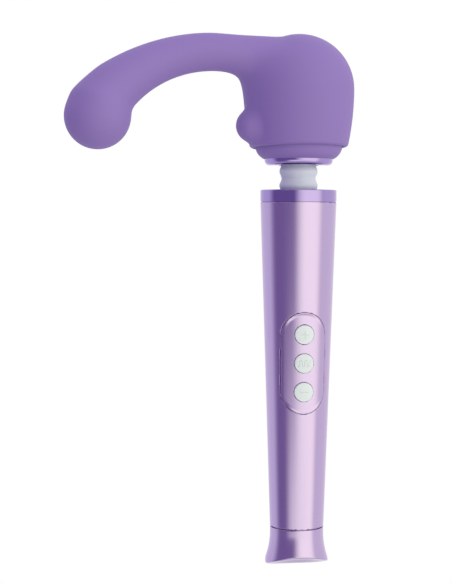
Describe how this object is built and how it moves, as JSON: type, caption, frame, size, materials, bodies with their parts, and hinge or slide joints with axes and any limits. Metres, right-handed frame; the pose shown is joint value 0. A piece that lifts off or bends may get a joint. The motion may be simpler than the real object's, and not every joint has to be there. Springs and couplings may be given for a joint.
{
  "type": "wand massager",
  "caption": "Handheld wand massager: a tapered metal handle with a button panel, a flexible ribbed neck, and a round head in a slip-on cup with a curved arm and ball tip.",
  "frame": {"origin": "on the wand's axis, at the mouth of the charging socket in the oblique underside of the end cap", "axes": "+Z along the wand's axis from the end cap to the head, -Y is the front with the buttons, -X is the side that the attachment's arm reaches out to"},
  "size_m": [0.1448, 0.0648, 0.2677],
  "materials": {
    "anodised_violet": "satin bead-blasted anodising",
    "polished_violet": "mirror-polished tinted anodising",
    "soft_violet": "matt soft-touch silicone",
    "neck_silicone": "matt silicone",
    "button_resin": "satin moulded resin with engraved symbols",
    "nylon_dark": "moulded glass-filled nylon",
    "seal_rubber": "moulded seal rubber",
    "membrane_silicone": "translucent keypad silicone",
    "socket_black": "moulded",
    "wire_red": "insulated lead",
    "cell_sleeve": "shrink-sleeved lithium cell",
    "nickel": "nickel strip",
    "board_green": "solder mask",
    "chip_black": "moulded epoxy",
    "screw_steel": "zinc plated",
    "spring_steel": "oiled spring wire",
    "motor_steel": "drawn steel",
    "core_steel": "laminated steel",
    "bell_plastic": "moulded",
    "bush_bronze": "sintered bronze",
    "copper_wire": "enamelled copper",
    "weight_brass": "turned brass"
  },
  "bodies": {
    "handle": {"end_cap": "anodised_violet", "end_cap_seal": "seal_rubber", "port_bezel": "seal_rubber", "charge_socket": "socket_black", "charge_leads": "wire_red", "handle_tube": "anodised_violet", "handle_ring": "polished_violet", "chassis": "nylon_dark", "battery_cell": "cell_sleeve", "battery_tabs": "nickel", "control_board": "board_green", "board_screws": "screw_steel", "board_chips": "chip_black", "button_switches": "nickel", "keypad_membrane": "membrane_silicone", "button_panel": "anodised_violet", "neck_socket": "nylon_dark", "neck_screws": "screw_steel"},
    "plus_key": {"button_plus": "button_resin"},
    "wave_key": {"button_wave": "button_resin"},
    "minus_key": {"button_minus": "button_resin"},
    "neck_mid": {"neck_boot": "neck_silicone", "neck_spring": "spring_steel", "motor_leads": "wire_red"},
    "head": {"head_ring": "polished_violet", "head_frame": "nylon_dark", "head_screws": "screw_steel", "head_shell": "nylon_dark", "head_skin": "soft_violet", "motor_mount": "seal_rubber", "motor_can": "motor_steel", "motor_end_bell": "bell_plastic", "motor_magnets": "core_steel", "motor_bushes": "bush_bronze", "motor_clamp": "nylon_dark"},
    "rotor": {"motor_shaft": "screw_steel", "motor_armature": "core_steel", "motor_windings": "copper_wire", "motor_commutator": "copper_wire", "eccentric_weight": "weight_brass"},
    "attachment": {"attachment_sleeve": "soft_violet", "attachment_core": "screw_steel"}
  },
  "joints": [
    {"name": "plus_press", "type": "slide", "parent": "handle", "child": "plus_key", "axis": [0, 0.9994, 0.0338], "range_m": [0, 0.0006], "stiffness_N_per_m": 1500},
    {"name": "wave_press", "type": "slide", "parent": "handle", "child": "wave_key", "axis": [0, 0.9994, 0.0338], "range_m": [0, 0.0006], "stiffness_N_per_m": 1500},
    {"name": "minus_press", "type": "slide", "parent": "handle", "child": "minus_key", "axis": [0, 0.9994, 0.0338], "range_m": [0, 0.0006], "stiffness_N_per_m": 1500},
    {"name": "neck_nod", "type": "hinge", "parent": "handle", "child": "neck_mid", "pos_m": [0, 0, 0.188], "axis": [1, 0, 0], "range_deg": [-15, 15], "stiffness_Nm_per_rad": 3, "deforming": ["neck_boot", "neck_spring", "motor_leads"]},
    {"name": "neck_sway", "type": "hinge", "parent": "neck_mid", "child": "head", "pos_m": [0, 0, 0.1946], "axis": [0, 1, 0], "range_deg": [-15, 15], "stiffness_Nm_per_rad": 3, "deforming": ["neck_boot", "neck_spring", "motor_leads"]},
    {"name": "motor_spin", "type": "hinge", "parent": "head", "child": "rotor", "pos_m": [0, 0, 0.22], "axis": [0, 0, 1], "continuous": true},
    {"name": "attachment_pull", "type": "slide", "parent": "head", "child": "attachment", "axis": [0, 0, 1], "range_m": [0, 0.055]}
  ]
}
